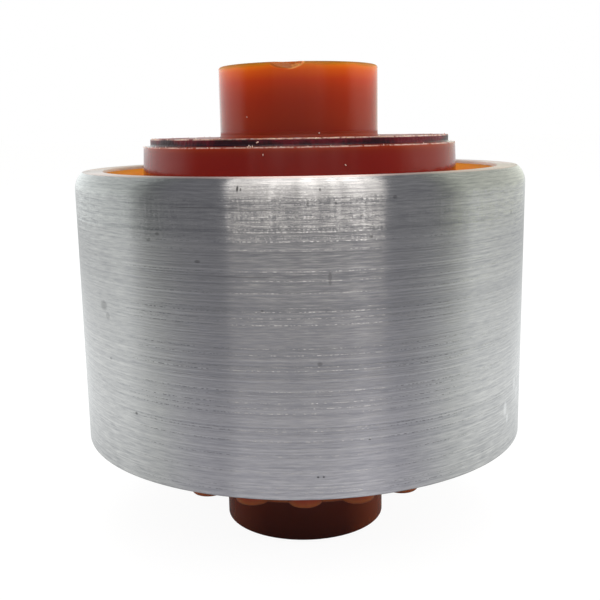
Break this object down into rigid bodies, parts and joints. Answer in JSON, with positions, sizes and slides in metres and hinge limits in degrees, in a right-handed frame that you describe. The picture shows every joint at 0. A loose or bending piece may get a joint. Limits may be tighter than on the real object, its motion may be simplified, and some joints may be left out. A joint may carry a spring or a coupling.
{
  "type": "polyurethane bushing",
  "caption": "Press-in suspension bushing: turned aluminium ring round a cast polyurethane body with collars, annular grooves and end posts, and a steel crush sleeve for the bolt.",
  "frame": {"origin": "centre of the lower post's end face, where the bushing stands", "axes": "+Z along the bolt axis from the lower post to the upper post; -Y is the front, with the chip on the upper post's edge"},
  "size_m": [0.066, 0.066, 0.069],
  "materials": {
    "turned_aluminium": "turned, with fine circumferential lines",
    "cast_polyurethane": "cast, smooth and slightly translucent",
    "sleeve_steel": "turned, bare"
  },
  "bodies": {
    "root": {"outer_ring": "turned_aluminium", "bush_body": "cast_polyurethane", "inner_sleeve": "sleeve_steel"}
  },
  "joints": []
}
